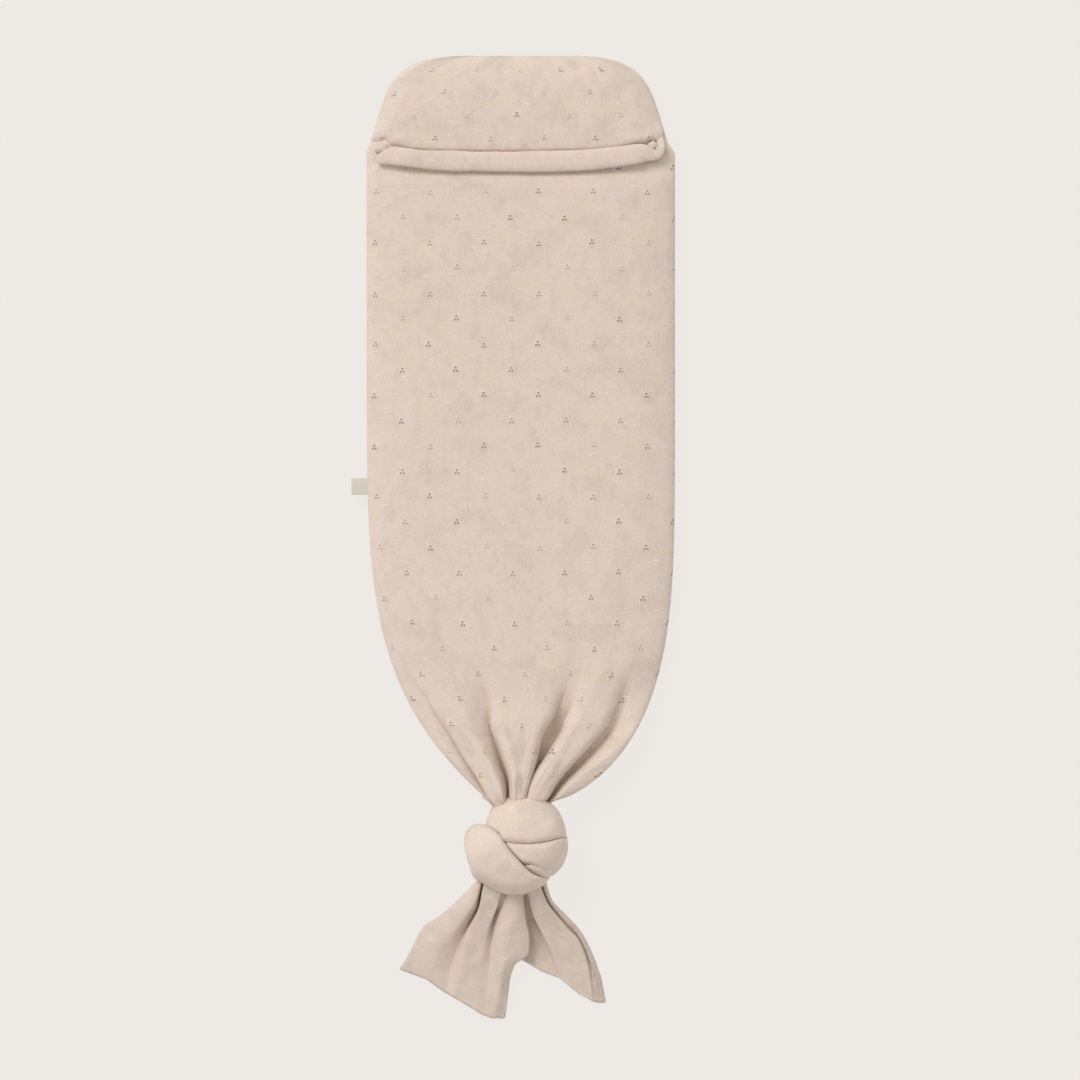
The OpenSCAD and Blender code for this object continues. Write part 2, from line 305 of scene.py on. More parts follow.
# Creases that the knot draws into the front, from the upper end down to the neck. Each row is (y, x, depth,
# half width of the floor to the left, width of the left side, the same two to the right). A rolled side
# stands over the crease as a round fold, and the other sides slope. "u" is where it starts across the bag.
CREASES = (
    {"u": -0.84, "rolled": ("right",), "rows": (
        (-86, -95, 0, 0, 16, 0, 12), (-107, -86.5, 2.2, 0, 16, 0, 9), (-130, -71, 5, 0, 15, 0, 7),
        (-154, -54, 8, 0, 13, 0, 5.5), (-172, -43, 10, 0, 10, 0, 5), (-188, -32.5, 11.5, 0, 8, 0, 4.5),
        (-204, -23.6, 12, 0, 6, 0, 4))},
    {"u": -0.40, "rolled": ("right",), "rows": (
        (-88, -38, 0, 0, 20, 0, 18), (-108, -31, 2.6, 0, 24, 0, 15), (-128, -25.6, 7.5, 1, 21, 0, 11),
        (-146, -22.4, 12.5, 2, 17, 0, 7.5), (-160, -16.8, 15.5, 3, 13, 0, 6), (-174, -12.6, 18.5, 3, 9, 0, 5),
        (-188, -8.8, 21, 2.2, 6, 0, 4), (-204, -8.4, 21, 1, 5, 0, 4))},
    {"u": 0.32, "rolled": ("left", "right"), "rows": (
        (-84, 46, 0, 0, 18, 0, 22), (-106, 41, 2.6, 1, 17, 1, 20), (-126, 35.5, 8, 3.5, 13, 3.5, 14),
        (-140, 29.6, 15, 6.8, 8, 6.8, 9), (-152, 24.2, 18.6, 7.6, 6, 7.6, 6.5),
        (-162, 19.6, 20, 5.8, 5.5, 5.8, 6), (-172, 15.3, 21.5, 3.6, 5, 3.6, 5.5),
        (-182, 10.4, 22, 1.2, 4.5, 1.2, 5), (-192, 6.6, 21, 0.1, 4, 0.1, 4.5),
        (-204, 3.4, 20, 0, 4, 0, 4.5))},
    {"u": 0.80, "rolled": ("left",), "rows": (
        (-94, 91, 0, 0, 14, 0, 24), (-112, 84, 4, 0, 13, 3, 27), (-130, 75, 9.5, 0, 11, 6, 26),
        (-145, 66, 14, 0, 8, 7, 24), (-157, 56.5, 16.5, 0, 6, 7, 21), (-169, 46, 18.5, 0, 5, 6, 17),
        (-180, 36, 20, 0, 4.5, 5, 12), (-191, 27.4, 20.5, 0, 4, 3.4, 8), (-204, 19.8, 20, 0, 4, 1.6, 6))},
)
CREASE_US = [-1.0] + [c["u"] for c in CREASES] + [1.0]


def foot(y):
    """0 in the bag, rising to 1 where the knot grips it."""
    return ease((-102 - y) / 102)


def crease_value(c, column, y):
    """One column of a crease's rows at each height y, smoothly from row to row."""
    rows = spline([(row[column], row[0]) for row in c["rows"]], np.linspace(0, 1, 160))
    order = np.argsort(rows[:, 1])
    return np.interp(y, rows[order, 1], rows[order, 0])


def crease_x(c, y):
    start = c["rows"][0][0]
    return mix(side_x(np.full_like(y, c["u"]), y), crease_value(c, 1, y), ease((start + 34 - y) / 50))


def front_x(u, y):
    """x on the front, so that a line of constant u follows the creases down to the neck."""
    left, right = side_x(np.full_like(y, -1.0), y), side_x(np.full_like(y, 1.0), y)
    xs = [left] + [crease_x(c, y) for c in CREASES] + [right]
    out = np.zeros_like(y)
    for k in range(len(CREASE_US) - 1):
        low, high = CREASE_US[k], CREASE_US[k + 1]
        inside = (u >= low) & (u <= high)
        out = np.where(inside, mix(xs[k], xs[k + 1], (u - low) / (high - low)), out)
    return out


def arch(u, y):
    """The front's height across the bag: nearly flat with round sides, and rounder at the neck."""
    power = mix(4.5, 2.3, foot(y))
    return dome(u, power)


def crease_side(q, rolled):
    """Over q, from the floor (0) to the top (1) of a side: (share of its depth, how far it stands over)."""
    if rolled:
        turn = math.pi * (clip(q) - 0.5)
        return (1 - np.sin(turn)) / 2, np.cos(turn)
    return (1 - clip(q)) ** 1.4, 0 * q


def creases(u, y, x):
    """The depth of the creases at a point of the front, and how far their rolled sides lean over them."""
    depth, lean = np.zeros_like(x), np.zeros_like(x)
    for c in CREASES:
        deep = np.maximum(crease_value(c, 2, y), 0) * (y < c["rows"][0][0])
        s = x - crease_x(c, y)
        for name, sign, column in (("left", -1, 3), ("right", 1, 5)):
            floor, reach = crease_value(c, column, y), crease_value(c, column + 1, y)
            share, over = crease_side((s * sign - floor) / reach, name in c["rolled"])
            here = ((s >= 0) if sign > 0 else (s < 0)) * (np.abs(s) < floor + reach)
            depth += here * deep * share
            stands = np.where(s * sign > floor, 1.0, clip(s * sign / np.maximum(floor, 0.01)))
            lean -= here * sign * over * stands * np.minimum(0.72 * reach, 0.4 * deep)
    return depth * arch(u, y) ** 0.5, lean


def front_base(u, y):
    top = mix(BAG_TOP - SWELL, NECK_TOP - SWELL, foot(y))
    top = mix(top, UNDER_HEM, ease((y - HEM_Y + 9) / 13))
    base = mix(SEAM_Z, NECK_MIDDLE, foot(y))
    middle = arch(u, y)
    z = base + (top - base) * middle
    z += middle * (0.7 * wobble(u * 120, y, 46, 1) + 0.35 * wobble(u * 120, y, 19, 2))
    return z + middle * foot(y) * 0.6 * wobble(u * 120, y * 0.16, 9, 3)


def front_height(u, y):
    return front_base(u, y) - creases(u, y, front_x(u, y))[0]


def back_height(u, y):
    low = mix(0.0, NECK_UNDER, foot(y))
    base = mix(SEAM_Z, NECK_MIDDLE, foot(y))
    deep = np.minimum(base - low, 1.2 * (base - low) * dome(u, 4))
    pleats = foot(y) * 3.2 * (1 - np.abs(np.cos(math.pi * 3 * u + 0.4))) * (1 - np.abs(u) ** 3)
    return np.maximum(base - deep + pleats, FLOOR)


def spaced(knots, count):
    """Shares across, closer together near each knot."""
    out = [knots[0]]
    for a, b in zip(knots[:-1], knots[1:]):
        s = (1 - np.cos(np.linspace(0, math.pi, count + 1))) / 2
        s = mix(np.linspace(0, 1, count + 1), s, 0.6)
        out.extend(a + (b - a) * s[1:])
    return np.array(out)


def rows_from(bottom, top, count):
    """Heights from bottom to top, closer together at the bottom."""
    t = np.linspace(0, 1, count)
    return mix(bottom, top, mix(t, t**1.8, 0.6))


def front_end(u):
    """The front's upper edge, under the hem. It is lower at the sides, where the hood's sides take over."""
    return HEM_Y + 9 - 7 * ease((np.abs(u) - 0.9) / 0.08)


def front_cover():
    u, y = np.meshgrid(np.linspace(-1, 1, 29), np.linspace(NECK_Y, HEM_Y, 60))
    rise = swelling("front_swelling", stacked(front_x(u, y), y, front_base(u, y)))
    us = spaced(CREASE_US, 40)
    rows = rows_from(0, 1, 200)
    u = np.broadcast_to(us, (len(rows), len(us)))
    y = mix(NECK_Y - 12, front_end(u), rows[:, None])
    tuck = ease((NECK_Y + 3 - y) / 12)
    x = front_x(u, y)
    depth, lean = creases(u, y, x)
    z = front_base(u, y) - depth + sampled(rise, (y - NECK_Y) / (HEM_Y - NECK_Y), (u + 1) / 2)
    x = (x + lean) * (1 - 0.28 * tuck)
    z = mix(z, mix(NECK_MIDDLE, z, 0.6), tuck)
    uv = stacked(u * 120, y)
    cover = sheet("front_cover", stacked(x, y, z), uv, KNIT)
    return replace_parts(cover, "front_panel")


BACK_SPLIT = 150.0  # the back is one sheet below here, and another above


def back_cover():
    us = spaced([-1.0, 0.0, 1.0], 34)
    rows = rows_from(NECK_Y - 12, BACK_SPLIT, 110)
    u, y = np.meshgrid(us, rows)
    tuck = ease((NECK_Y + 3 - y) / 12)
    x = side_x(u, y) * (1 - 0.28 * tuck)
    z = mix(back_height(u, y), NECK_MIDDLE - 6, tuck * 0.6)
    uv = stacked(u * 120 + 300, y)
    cover = sheet("back_cover", stacked(x, y, z), uv, KNIT, flip=True)
    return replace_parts(cover, "back_panel")


def hood_back():
    us = spaced([-1.0, 0.0, 1.0], 34)
    straight = np.r_[np.linspace(BACK_SPLIT, 272, 24), np.linspace(274, 316, 34), np.linspace(319, 360, 14)]
    rows = np.r_[straight, 360 + (CROWN_Y - 360) * np.sin(np.linspace(0.06, 1, 18) * math.pi / 2)]
    u, y = np.meshgrid(us, rows)
    v = clip((y - HEM_Y) / (CROWN_Y - HEM_Y))
    deep = 1.2 * SEAM_Z * dome(u, 4) * dome(v, 8)
    z = SEAM_Z - np.minimum(SEAM_Z, deep)
    back = sheet("hood_back", stacked(side_x(u, y), y, np.maximum(z, FLOOR)),
                 stacked(u * 120 + 300, y), KNIT, flip=True)
    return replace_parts(back, "hood_back_panel")


def hood_side(name, side):
    """The hood's side beyond the end of the hem, down to the front's upper edge. side is -1 or 1."""
    across = side * (0.87 + 0.13 * np.sin(np.linspace(0, math.pi / 2, 26)))[::side]
    up = np.linspace(0, 1, 34)
    u = np.broadcast_to(across, (len(up), len(across)))
    y = mix(front_end(u) - 1.5, HEM_Y + 9 + 22 * ease((np.abs(u) - 0.86) / 0.08), up[:, None])
    under = 0.15  # it tucks in under the front's edge
    grid = stacked(side_x(u, y), y, front_base(u, y) - under)
    strip = sheet(name, grid, stacked(u * 120, y), KNIT)
    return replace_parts(strip, "hood_front_panel")


# The hood's front edge above the rolled hem, stepping round the puff at each end: (x, y)
HOOD_EDGE = [(-122, 313.5), (-113, 312.8), (-108.4, 312.2), (-105.4, 309.8), (-103.2, 307.2), (-94, 306.6),
             (-71, 303.8), (0, 303.4), (62, 304.8), (86, 308.0), (98.4, 308.8), (101, 311.8), (106.4, 312.4),
             (112, 313.6), (122, 316)]


def hood_dome(u, y):
    """The height of the hood's front, before its folds."""
    v = clip((y - 300) / (CROWN_Y - 300))
    across = dome(u, 4.5)
    return SEAM_Z + (BAG_TOP - SWELL - SEAM_Z) * across * dome(v, 4.5)


RIGHT_SIDE = 111.8  # x of the hood front's right side, short of the bag's side


def hood_front():
    u, y = np.meshgrid(np.linspace(-1, 1, 29), np.linspace(HEM_Y + 12, CROWN_Y, 13))
    rise = swelling("hood_swelling", stacked(side_x(u, y), y, hood_dome(u, y)))
    us = spaced([-1.0, -0.87, 0.0, 0.9, 1.0], 26)
    low = np.interp(us * np.where(us < 0, 120, RIGHT_SIDE), *np.array(HOOD_EDGE).T)
    shares = np.r_[np.linspace(0, 0.12, 14), np.linspace(0.135, 0.8, 40), np.linspace(0.815, 1, 30)]
    u = np.broadcast_to(us, (len(shares), len(us)))
    y = low[None, :] + shares[:, None] * (CROWN_Y - low)[None, :]
    v = clip((y - 300) / (CROWN_Y - 300))
    across = dome(u, 4.5)
    z = hood_dome(u, y) + sampled(rise, (y - HEM_Y - 12) / (CROWN_Y - HEM_Y - 12), (u + 1) / 2)
    near_puff = ease((np.abs(u) - 0.74) / 0.1)
    z += 2.0 * near_puff * np.exp(-(((y - low - 6) / 5) ** 2))
    z -= (1 - np.abs(u) ** 10) * (2.6 + 3.4 * near_puff) * np.exp(-(y - low) / mix(1.8, 2.8, near_puff))
    pucker = np.exp(-(y - low) / 7) * 0.35 * wobble(u * 110, y * 0.2, 4.5, 7)
    z += across * ((1 - v**4) * (0.6 * wobble(u * 110, y, 34, 5) + 0.3 * wobble(u * 110, y, 13, 6)) + pucker)
    z += 3.0 * ease((u - 0.8) / 0.2) * ease((324 - y) / 10)
    x = np.where(u > 0, u * np.minimum(side_x(np.ones_like(u), y), RIGHT_SIDE), side_x(u, y))
    uv = stacked(u * 116 - 4.9, 331.25 + (y - 331.6) * 1.1)
    hood = sheet("hood_front", stacked(x, y, z), uv, KNIT)
    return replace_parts(hood, "hood_front_panel")


# ---- Hem, tacks and neckline ----

# The rolled hem's middle line, with its half width: (x, y, half width)
HEM_PATH = [(-113.2, 298.4, 1.6), (-111.8, 298.4, 3.4), (-108, 298.9, 5.2), (-103, 300.2, 6.5),
            (-94, 299.9, 7.1), (-70, 297.2, 7.6), (-30, 296.1, 8.1), (10, 296, 8.2), (50, 297.2, 8.0),
            (78, 300.2, 8.1), (90, 301.9, 7.9), (96, 302.6, 7.0), (100.5, 302.0, 5.6), (104.5, 301.8, 4.4),
            (107.7, 303.2, 3.7), (109.1, 306.2, 3.4), (109.3, 310, 3.1), (108.9, 314, 2.6), (108, 317.5, 1.5)]


def hood_hem():
    t = np.linspace(0, 1, 170)
    path = spline(HEM_PATH, t)
    step = np.gradient(path[:, :2], axis=0)
    step /= np.linalg.norm(step, axis=1, keepdims=True)
    side = np.stack([-step[:, 1], step[:, 0]], axis=1)
    angle = circle(32)
    c = np.sign(np.cos(angle)) * np.abs(np.cos(angle)) ** 0.85
    s = np.sign(np.sin(angle)) * np.abs(np.sin(angle)) ** 0.7
    run = t * 240
    half = path[:, 2] * (1 + 0.05 * wobble(run, run * 0, 15, 11))
    height = np.minimum(half, 6.2) * 0.6 * (1 + 0.1 * wobble(run, run * 0, 19, 12))
    sinks = 3.6 * ease((np.abs(path[:, 0]) - 86) / 26) + 4.6 * ease((path[:, 1] - 306) / 10)
    middle_z = UNDER_HEM + 4.1 - sinks
    rings = stacked(path[:, 0, None] + side[:, 0, None] * half[:, None] * c,
                    path[:, 1, None] + side[:, 1, None] * half[:, None] * c,
                    middle_z[:, None] + height[:, None] * s)
    uv = stacked(path[:, 0, None], 500 + angle * 7)
    hem = tube("hood_hem_roll", rings, uv)
    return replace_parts(hem, "hood_hem")


def pillow(name, centre, size, turn, seed, node):
    """A small tucked puff of fabric with rather square sides."""
    a = circle(28)
    b = np.linspace(-0.49 * math.pi, 0.49 * math.pi, 15)
    ca, sa = np.cos(a)[None, :], np.sin(a)[None, :]
    cb, sb = np.cos(b)[:, None], np.sin(b)[:, None]
    power = 0.7
    x = size[0] * np.sign(ca) * np.abs(ca) ** power * cb
    y = size[1] * np.sign(sa) * np.abs(sa) ** power * cb
    bump = 1 + 0.12 * wobble(x * 3, y * 3, 9, seed)
    rings = stacked(centre[0] + (x * math.cos(turn) - y * math.sin(turn)) * bump,
                    centre[1] + (x * math.sin(turn) + y * math.cos(turn)) * bump, centre[2] + size[2] * sb)
    uv = rings[..., :2] + 40
    piece = tube(name, rings, uv)
    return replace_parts(piece, node)


def neckline():
    """The turned edge of the front's upper end, which the hood's hem hides at rest."""
    u = np.linspace(-0.88, 0.88, 90)
    y = np.full_like(u, HEM_Y + 9.0)
    x, z = front_x(u, y), front_height(u, y) - 1.4
    angle = circle(16)
    fade = np.maximum(0.25, dome(u / 0.88, 12))
    rings = stacked(x[:, None], y[:, None] + 1.6 + 3 * fade[:, None] * np.cos(angle),
                    z[:, None] + 2.3 * fade[:, None] * np.sin(angle))
    uv = stacked(x[:, None], 520 + angle * 3)
    rings = rings[:, ::-1]
    piece = tube("neckline_roll", rings, uv)
    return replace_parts(piece, "neckline_hem")


# ---- Linings ----


def front_lining():
    us = spaced([-1.0, 0.0, 1.0], 26)
    rows = np.linspace(NECK_Y + 30, HEM_Y + 8, 70)
    u, y = np.meshgrid(us * 0.985, rows)
    depth = KNIT + GAP
    z = np.maximum(front_height(u, y) - depth, SEAM_Z + 0.3)
    lining = sheet("front_lining_sheet", stacked(front_x(u, y) * 0.985, y, z),
                   stacked(u * 120, y), LINING)
    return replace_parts(lining, "front_lining")


def back_lining():
    us = spaced([-1.0, 0.0, 1.0], 26)
    rows = np.linspace(NECK_Y + 30, HEM_Y - 8, 70)
    u, y = np.meshgrid(us * 0.985, rows)
    z = np.minimum(back_height(u, y) + KNIT + GAP, SEAM_Z - 0.3)
    lining = sheet("back_lining_sheet", stacked(side_x(u, y) * 0.985, y, z),
                   stacked(u * 120, y), LINING, flip=True)
    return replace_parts(lining, "back_lining")


def hood_lining(name, node, upper):
    us = spaced([-1.0, 0.0, 1.0], 26)
    rows = np.linspace(HEM_Y + (17 if upper else 1), CROWN_Y - 2.2, 34)
    u, y = np.meshgrid(us * 0.98, rows)
    v = clip((y - 300) / (CROWN_Y - 300))
    fall = dome(u, 4.5) * dome(v, 4.5)
    depth = KNIT + GAP
    if upper:
        z = SEAM_Z + 0.3 + (BAG_TOP - SWELL - SEAM_Z - depth - 1) * fall
    else:
        z = SEAM_Z - 0.3 - (SEAM_Z - depth - 0.4) * np.minimum(1, 1.2 * fall)
    x = side_x(u, y) * 0.985
    if upper:
        x = np.minimum(x, RIGHT_SIDE - 3.3)
    uv = stacked(u * 120, y)
    lining = sheet(name, stacked(x, y, z), uv, LINING, flip=not upper)
    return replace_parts(lining, node)


# ---- Knot ----

# Edges of the three wraps seen from above, from left to right
DOME_TOP = [(-28, -223), (-25.5, -215.5), (-21.5, -207.5), (-8, -200.8), (5, -199.8), (17, -203),
            (27.5, -209.5), (33.8, -221.5), (36.3, -233)]
DOME_LOW = [(-28, -223), (-17, -229), (-12.8, -235), (4, -236.4), (20, -234.8), (30, -232.6), (36.3, -233)]
BAND_LOW = [(-12.8, -235), (-6.5, -243.5), (1, -252), (8, -259), (15, -262.6), (23, -263.6), (32, -255.6),
            (36.6, -244), (36.3, -233)]
LOBE_TOP = [(-45, -238), (-43.2, -228.5), (-37, -223), (-28, -222.8), (-17, -229), (-12.8, -235),
            (-6.5, -243.5), (1, -252), (8, -259), (15, -262.6), (23, -264)]
LOBE_LOW = [(-45, -238), (-42, -250), (-38, -263), (-31, -268), (-16, -276), (-4, -278.2), (8, -276),
            (18, -270), (23, -264)]


def shoulder(distance, radius):
    """A quarter round: 0 at an edge and 1 from radius inwards."""
    return np.sqrt(np.maximum(0, 1 - (1 - clip(distance / radius)) ** 2))


def ball(x, y, centre, radii, height):
    """A squarish round lump's height over x and y, from the knot's middle up to its top."""
    r = np.hypot((x - centre[0]) / radii[0], (y - centre[1]) / radii[1])
    return (height - KNOT_MIDDLE) * dome(r, 2.6)


def wrap(name, node, top, low, top_edge, low_edge, form, seed, pleats=()):
    """A puffed wrap between two edges over a round form. Each edge is (share, reach, drop) rows along it.

    form is a ball's centre, radii and height. A pleat is (its line, its depth at both ends, its reach)."""
    count, across = 96, 48
    s = (1 - np.cos(np.linspace(0, math.pi, count))) / 2
    s = mix(np.linspace(0, 1, count), s, 0.7)
    a, b = spline(top, s), spline(low, s)
    t = (1 - np.cos(np.linspace(0, math.pi, across))) / 2
    plan = a[:, None, :] + (b - a)[:, None, :] * t[None, :, None]
    width = np.linalg.norm(b - a, axis=1)[:, None]
    x, y = plan[..., 0], plan[..., 1]

    def edge(table, column):
        return np.interp(s, [row[0] for row in table], [row[column] for row in table])[:, None]

    fall = 1.0
    for table, distance in ((top_edge, t[None, :] * width), (low_edge, (1 - t[None, :]) * width)):
        fall = fall * (1 - edge(table, 2) * (1 - shoulder(distance, edge(table, 1))))
    rise = ball(x, y, *form) * fall
    rise += fall * (0.8 * wobble(x, y, 17, seed) + 0.4 * wobble(x * 0.6, y, 6.5, seed + 1))
    for line, depths, reach in pleats:
        share = np.linspace(0, 1, 60)
        crease = spline(line, share)
        away = np.hypot(x[..., None] - crease[:, 0], y[..., None] - crease[:, 1])
        nearest = np.argmin(away, axis=-1)
        depth = mix(depths[0], depths[1], share[nearest])
        rise -= depth * (1 - shoulder(np.min(away, axis=-1), reach))
    upper = KNOT_MIDDLE + np.maximum(rise, 0)
    both = shoulder(t[None, :] * width, 15.0) * shoulder((1 - t[None, :]) * width, 15.0)
    lower = np.maximum(KNOT_MIDDLE - (KNOT_MIDDLE + 1.5) * both, 0.05)
    rings = np.concatenate([stacked(x, y, upper), stacked(x, y, lower)[:, ::-1]], axis=1)[1:-1]
    uv = stacked(x, y) + 700
    uv = np.concatenate([uv, uv[:, ::-1]], axis=1)[1:-1]
    piece = tube(name, rings[:, ::-1], uv[:, ::-1])
    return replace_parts(piece, node)


def knot():
    outside, crease = 1.0, 0.2
    turn = ((5, -233), (34, 36), KNOT_TOP - 1)
    lobe = ((-7, -247), (40.5, 33.5), KNOT_TOP)
    pleat = ([(-1.5, -251.2), (1.2, -252.6), (8.5, -252.6), (18, -256.5), (27, -256)], (7.0, 1.4), 3.4)
    upper = wrap("knot_upper_puff", "knot_upper_wrap", DOME_TOP, DOME_LOW,
                 [(0, 9, outside), (1, 9, outside)],
                 [(0, 6, 0.3), (0.15, 6, 0.22), (0.9, 6, crease), (1, 8, outside)], turn, 21)
    middle = wrap("knot_middle_puff", "knot_middle_wrap", DOME_LOW[2:], BAND_LOW,
                  [(0, 5, 0.16), (0.9, 5, 0.16), (1, 8, outside)],
                  [(0, 5, crease), (0.5, 6, 0.26), (0.64, 9, outside), (1, 9, outside)], turn, 31, (pleat,))
    lower = wrap("knot_lower_puff", "knot_lower_wrap", LOBE_TOP, LOBE_LOW,
                 [(0, 10, outside), (0.2, 10, outside), (0.33, 7, 0.22), (0.9, 7, crease), (1, 10, outside)],
                 [(0, 10, outside), (1, 10, outside)], lobe, 41)
    return upper, middle, lower


def bunch(name, node, places, folds, seed):
    """A rope of gathered fabric: (x, y, z, half width, half height) places along it, with long folds."""
    t = np.linspace(0, 1, 40)
    path = spline(places, t)
    angle = circle(96)
    turn = angle[None, :] + 0.5 * t[:, None]
    lobes = 1 - 0.16 * np.abs(np.sin(turn * folds / 2)) ** 3
    lobes += 0.03 * wobble(turn * 10, t[:, None] * 8, 4, seed)
    rings = stacked(path[:, 0, None] + path[:, 3, None] * np.cos(angle) * lobes, path[:, 1, None],
                    np.maximum(path[:, 2, None] + path[:, 4, None] * np.sin(angle) * lobes, 0.6))
    uv = stacked(900 + angle * 20, path[:, 1, None])
    piece = tube(name, rings, uv)
    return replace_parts(piece, node)


# ---- Tail ----


# A tail flap's lines from the knot to its hem: the (x, y) points, the height at five places along it, and
# whether it is a high line (a ridge) or a low one (a valley or an edge)
LEFT_FLAP = (
    ([(-33.2, -266), (-47.2, -280.2), (-63.3, -295.3), (-75.7, -303.9), (-82.7, -316.8), (-88.6, -328.6),
      (-94.3, -337)], (12, 7, 4.5, 3, 2.5), 0),
    ([(-31, -267), (-36.5, -283), (-46, -297), (-56.5, -309), (-65, -322), (-74, -344.5)],
     (20, 17.5, 15, 11, 5), 1),
    ([(-29, -267), (-31.4, -278.3), (-33.4, -288), (-37, -295.5), (-43, -306), (-48.5, -318), (-53, -331),
      (-60, -354.3)], (2.5, 2.5, 3, 4.5, 3.5), 0),
    ([(-28.5, -267), (-30.3, -278), (-31.6, -288), (-34.6, -296), (-40, -307.5), (-44.5, -320), (-47, -335),
      (-51, -359.6)], (26, 22, 16, 10.5, 6), 1),
    ([(-11, -268), (-20, -290), (-25, -301.7), (-29.6, -316), (-34.9, -340), (-40.3, -366)],
     (24, 18, 12.5, 9.5, 6), 1),
    ([(-13, -268), (-18.8, -288), (-22.8, -303), (-24, -320), (-26, -342), (-31, -371.7)],
     (6, 8, 11, 9, 6), 0),
    ([(-4.2, -268), (-5.8, -294.2), (-9.6, -310.3), (-13.9, -328.6), (-16, -350.1), (-22.5, -375.2)],
     (29, 25, 21.5, 15, 7), 1),
    ([(2.3, -268), (3.3, -293.1), (6.3, -310.3), (5.7, -323.2), (0.6, -329.4), (-4.4, -333), (-8.5, -343.6),
      (-10.9, -358.7), (-13.1, -375.3)], (24, 22, 19, 12, 4), 0),
)
RIGHT_FLAP = (
    ([(-2.1, -268), (-1.5, -301.7), (-2.1, -318.9), (-0.8, -328.8)], (5, 4, 3, 3, 3), 0),
    ([(2.8, -268), (6, -294.2), (9.2, -308.2), (11.9, -325.4), (15.2, -338.3)], (9, 7, 6, 5, 4), 1),
    ([(5.6, -268), (12.4, -297.4), (17.6, -312.5), (22.6, -327.5), (28, -343.3)], (4, 3, 3, 3, 3), 0),
    ([(2.9, -268), (9.8, -294.2), (17.3, -309.2), (23.8, -321.1), (28.1, -332.9), (30.7, -344.7)],
     (27, 24, 20, 14, 6), 1),
    ([(8.7, -266), (17.3, -291), (27, -307.1), (36.7, -325.4), (44.2, -355.6)], (29, 25, 20, 13, 6), 1),
    ([(12.9, -264), (20.3, -284), (27.8, -295.3), (36.4, -304.9), (45, -314.6), (52, -334), (56, -362)],
     (27, 20, 13, 8, 4.5), 1),
    ([(12.2, -263), (20.2, -282.9), (28.2, -293.8), (37.3, -304.4), (46.3, -314.6), (53.9, -334),
      (58.4, -362.8)], (13, 11, 8.5, 6, 4), 0),
    ([(15.2, -262), (22.2, -281.9), (31.5, -293.4), (42, -305.6), (50.4, -318.9), (57.1, -337.2),
      (61.6, -363.2)], (19, 13, 10, 7.5, 5), 1),
    ([(18.6, -262), (23.8, -281.9), (34.5, -294.2), (46.3, -307.6), (54.4, -323.2), (60.3, -340.4),
      (64.8, -363.6)], (10, 5, 4, 3.5, 3), 0),
)


def flap_surface(flap, us, t, seed):
    """x, y and height over a tail flap. us counts its lines from 0, and t runs from the knot to the hem."""
    k = np.clip(np.floor(us).astype(int), 0, len(flap) - 2)
    share = (us - k)[None, :]
    plan = np.stack([spline(line[0], t) for line in flap], axis=1)
    plan = plan[:, k] * (1 - share[..., None]) + plan[:, k + 1] * share[..., None]
    lift = np.stack([spline([(h,) for h in line[1]], t)[:, 0] for line in flap], axis=1)
    high = np.array([line[2] for line in flap])
    tight = (1 - ease(t * 1.1 - 0.1))[:, None]
    climb = mix(ease(share), 1 - (1 - share) ** 2.6, tight)
    drop = mix(ease(share), share**2.6, tight)
    rises, falls = (high[k] < high[k + 1])[None, :], (high[k] > high[k + 1])[None, :]
    blend = np.where(rises, climb, np.where(falls, drop, share))
    z = lift[:, k] * (1 - blend) + lift[:, k + 1] * blend
    x, y = plan[..., 0], plan[..., 1]
    return x, y, z + 0.6 * wobble(x, y, 13, seed) + 0.3 * wobble(x, y, 5.5, seed + 1)


def flap(name, lines, node, seed, drop=0.0, shrink=1.0, slip=(0, 0)):
    """One layer of a tail flap. The under layer lies lower and slips out a little past the top one."""
    us = np.linspace(0, len(lines) - 1, 13 * (len(lines) - 1) + 1)
    t = np.linspace(0, 1, 84)
    x, y, z = flap_surface(lines, us, t, seed)
    z = np.maximum(z * shrink - drop, KNIT + 0.1)
    x, y = x + slip[0] * t[:, None], y + slip[1] * t[:, None]
    uv = stacked(us * 15, 800 - t[:, None] * 110)
    piece = sheet(name, stacked(x, y, z)[::-1], uv[::-1], KNIT)
    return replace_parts(piece, node)


def hem_roll(name, lines, node, seed):
    """The turned end of a flap, where both layers are folded in."""
    us = np.linspace(0, len(lines) - 1, 110)
    x, y, z = flap_surface(lines, us, np.array([0.95, 1.0]), seed)
    out = np.stack([x[1] - x[0], y[1] - y[0]], axis=1)
    out /= np.linalg.norm(out, axis=1, keepdims=True)
    angle = circle(16)
    past = 2.2 * np.cos(angle) - 1.9
    rings = stacked(x[1, :, None] + out[:, 0, None] * past, y[1, :, None] + out[:, 1, None] * past,
                    np.maximum(z[1] - 1.0, 1.5)[:, None] + 1.45 * np.sin(angle))
    uv = stacked(us[:, None] * 15, 690 + angle * 2)
    piece = tube(name, rings[:, ::-1], uv[:, ::-1])
    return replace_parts(piece, node)


